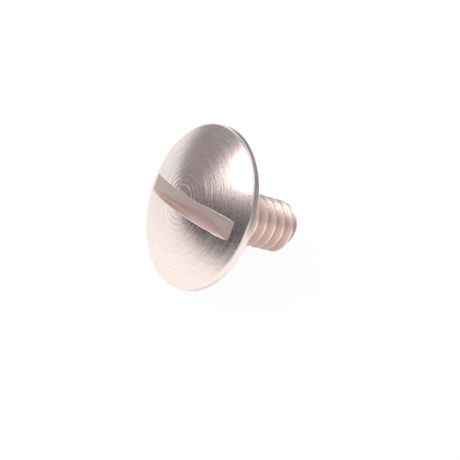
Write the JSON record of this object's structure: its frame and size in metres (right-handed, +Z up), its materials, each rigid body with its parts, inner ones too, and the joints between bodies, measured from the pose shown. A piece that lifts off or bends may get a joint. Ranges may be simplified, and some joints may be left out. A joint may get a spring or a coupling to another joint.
{
  "type": "slotted mushroom head machine screw",
  "caption": "Short machine screw with a wide low domed head, a straight driver slot and a coarse right-hand thread up to the head.",
  "frame": {"origin": "on the surface the screw lies on, under the middle of its bounding box", "axes": "+Z up from that surface, +Y from the head towards the tip along the surface, +X across the head; the shank points 27 degrees down from +Y, as the screw rests on its rim and its last thread"},
  "size_m": [0.0142, 0.0132, 0.0129],
  "materials": {
    "turned_steel": "satin turned stainless steel, with a matte milled slot"
  },
  "bodies": {
    "root": {"screw": "turned_steel"}
  },
  "joints": []
}
